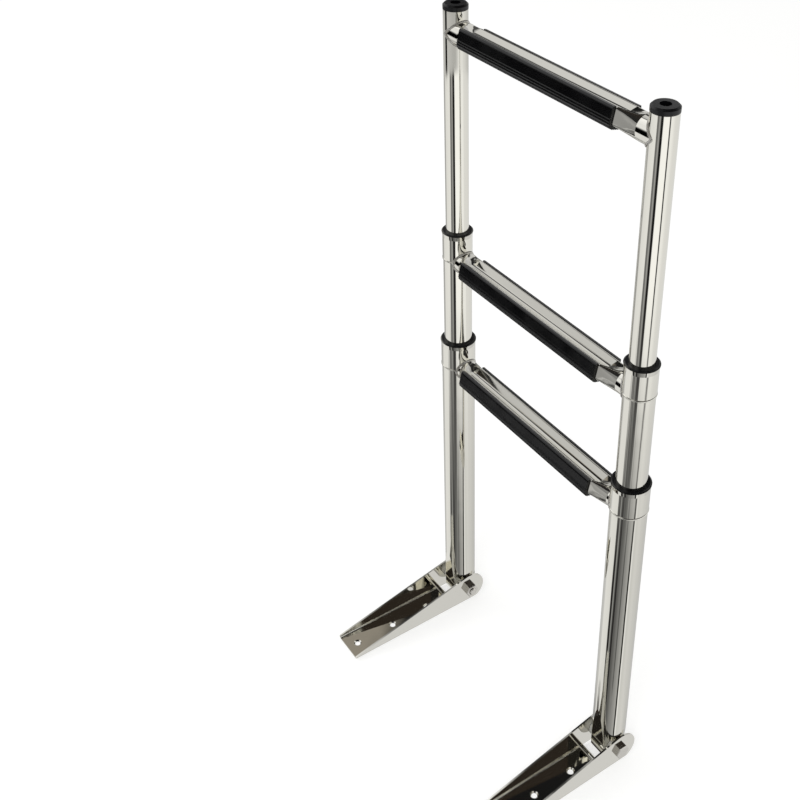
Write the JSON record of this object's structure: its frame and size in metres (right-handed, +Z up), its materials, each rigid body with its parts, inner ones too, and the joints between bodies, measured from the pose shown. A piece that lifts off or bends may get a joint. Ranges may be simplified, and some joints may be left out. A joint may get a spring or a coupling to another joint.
{
  "type": "telescopic boat ladder",
  "caption": "Telescopic boat ladder: nested steel tube legs, pressed steps with ribbed plastic tread covers, feet hinged in deck brackets.",
  "frame": {"origin": "On the underside of the left deck bracket's floor, on its centre line, midway between its first two screw holes.", "axes": "X runs across the ladder from the left leg to the right leg. The brackets run back to -Y from the pivots, and the ladder swings out over +Y. Z is up, along the standing legs."},
  "size_m": [0.351, 0.1935, 0.8075],
  "materials": {
    "bracket_steel": "mirror-polished stainless sheet",
    "tube_steel": "mirror-polished stainless tube",
    "step_steel": "polished stainless, pressed",
    "bolt_steel": "bright stainless",
    "black_plastic": "moulded black plastic",
    "tread_plastic": "ribbed black plastic",
    "spacer_plastic": "plain washer plastic"
  },
  "bodies": {
    "brackets": {"bracket_left": "bracket_steel", "bracket_right": "bracket_steel", "pivot_bolt_left": "bolt_steel", "pivot_bolt_right": "bolt_steel", "pivot_nut_left": "bolt_steel", "pivot_nut_right": "bolt_steel", "foot_spacer_left_a": "spacer_plastic", "foot_spacer_left_b": "spacer_plastic", "foot_spacer_right_a": "spacer_plastic", "foot_spacer_right_b": "spacer_plastic"},
    "outer_section": {"outer_tube_left": "tube_steel", "outer_tube_right": "tube_steel", "outer_guide_ring_left": "black_plastic", "outer_guide_ring_right": "black_plastic", "lower_step": "step_steel", "lower_tread_cover": "tread_plastic"},
    "middle_section": {"middle_tube_left": "tube_steel", "middle_tube_right": "tube_steel", "middle_guide_ring_left": "black_plastic", "middle_guide_ring_right": "black_plastic", "middle_slide_bush_left": "black_plastic", "middle_slide_bush_right": "black_plastic", "middle_step": "step_steel", "middle_tread_cover": "tread_plastic"},
    "inner_section": {"inner_tube_left": "tube_steel", "inner_tube_right": "tube_steel", "inner_slide_bush_left": "black_plastic", "inner_slide_bush_right": "black_plastic", "end_cap_left": "black_plastic", "end_cap_right": "black_plastic", "top_step": "step_steel", "top_tread_cover": "tread_plastic"}
  },
  "joints": [
    {"name": "ladder_hinge", "type": "hinge", "parent": "brackets", "child": "outer_section", "pos_m": [0.149, 0.08, 0.0215], "axis": [-1, 0, 0], "range_deg": [-85, 165]},
    {"name": "middle_slide", "type": "slide", "parent": "outer_section", "child": "middle_section", "axis": [0, 0, 1], "range_m": [-0.088, 0.107]},
    {"name": "inner_slide", "type": "slide", "parent": "middle_section", "child": "inner_section", "axis": [0, 0, 1], "range_m": [-0.206, 0]}
  ]
}
